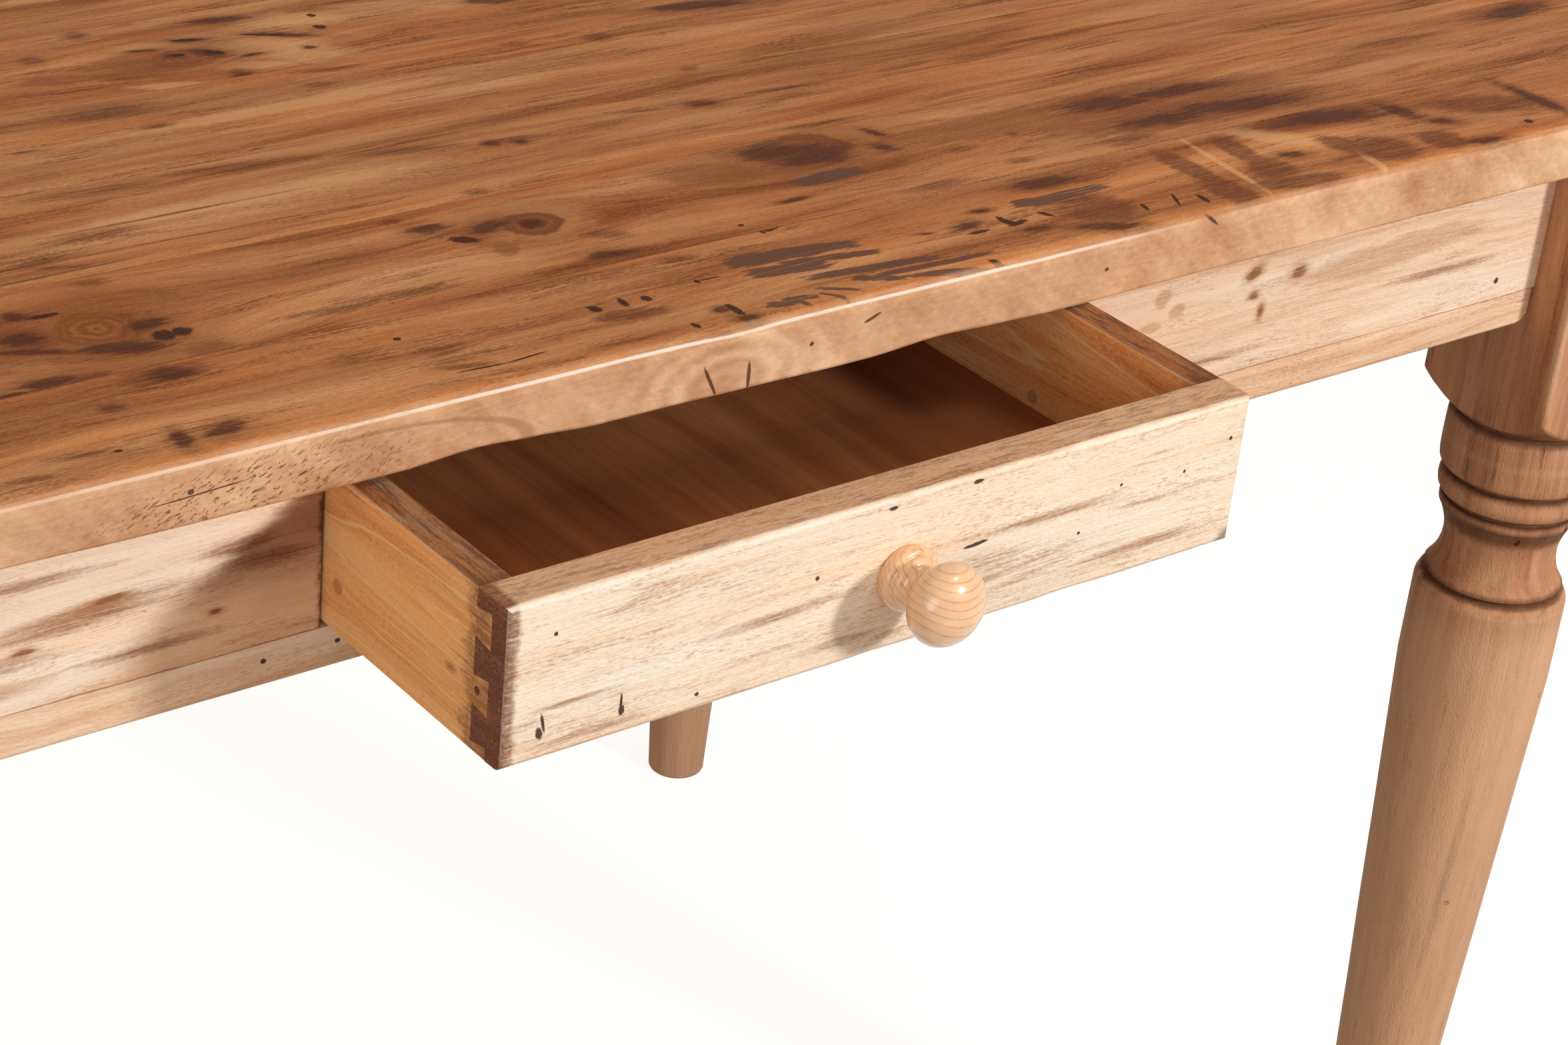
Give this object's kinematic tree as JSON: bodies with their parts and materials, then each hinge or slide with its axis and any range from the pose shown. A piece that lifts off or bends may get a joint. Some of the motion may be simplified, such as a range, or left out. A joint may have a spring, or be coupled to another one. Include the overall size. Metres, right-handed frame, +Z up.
{
  "type": "tavern table",
  "caption": "Rectangular wooden tavern table with turned legs, a glued plank top and a dovetailed drawer that slides out of the front apron.",
  "frame": {"origin": "on the floor, at the middle of the whole table's box with the drawer pulled out as it is stored", "axes": "+X along the length of the top, -Y towards the drawer side, +Z up"},
  "size_m": [1.22, 0.8634, 0.762],
  "materials": {
    "top_pine": "aged pine with knots and scrapes, satin varnish",
    "leg_pine": "brown stained pine, darker in the turned grooves, satin",
    "apron_pine": "pale honey pine, satin varnish",
    "frame_pine": "plain sawn pine, unfinished",
    "drawer_front_pine": "pale cream pine, worn dark at the edges",
    "drawer_side_pine": "amber stained pine, satin",
    "drawer_bottom_pine": "stained pine boards, dull",
    "knob_lacquer": "turned wood under clear gloss lacquer",
    "zinc_steel": "dull zinc plate",
    "dark_iron": "dark, rust-brown nails"
  },
  "bodies": {
    "table": {"top_plank_01": "top_pine", "top_plank_02": "top_pine", "top_plank_03": "top_pine", "top_plank_04": "top_pine", "top_plank_05": "top_pine", "top_plank_06": "top_pine", "top_plank_07": "top_pine", "top_plank_08": "top_pine", "top_plank_09": "top_pine", "top_plank_10": "top_pine", "leg_front_left": "leg_pine", "leg_front_right": "leg_pine", "leg_back_left": "leg_pine", "leg_back_right": "leg_pine", "apron_front_left": "apron_pine", "apron_front_right": "apron_pine", "apron_front_rail": "apron_pine", "apron_back": "apron_pine", "apron_left": "apron_pine", "apron_right": "apron_pine", "corner_brace_front_left": "frame_pine", "corner_brace_front_right": "frame_pine", "corner_brace_back_left": "frame_pine", "corner_brace_back_right": "frame_pine", "top_buttons": "frame_pine", "drawer_runner_left": "frame_pine", "drawer_runner_right": "frame_pine", "drawer_guide_left": "frame_pine", "drawer_guide_right": "frame_pine", "drawer_stops": "frame_pine", "brace_bolts": "zinc_steel", "brace_washers": "zinc_steel", "brace_nuts": "zinc_steel", "brace_screws": "zinc_steel", "button_screws": "zinc_steel", "guide_screws": "zinc_steel", "stop_screws": "zinc_steel", "runner_nails": "dark_iron"},
    "drawer": {"drawer_front": "drawer_front_pine", "drawer_side_left": "drawer_side_pine", "drawer_side_right": "drawer_side_pine", "drawer_back": "drawer_side_pine", "drawer_bottom_1": "drawer_bottom_pine", "drawer_bottom_2": "drawer_bottom_pine", "drawer_bottom_3": "drawer_bottom_pine", "drawer_bottom_4": "drawer_bottom_pine", "drawer_bottom_nails": "dark_iron", "drawer_knob": "knob_lacquer", "knob_screw": "zinc_steel"}
  },
  "joints": [
    {"name": "drawer_slide", "type": "slide", "parent": "table", "child": "drawer", "axis": [0, -1, 0], "range_m": [-0.1158, 0.1842]}
  ]
}
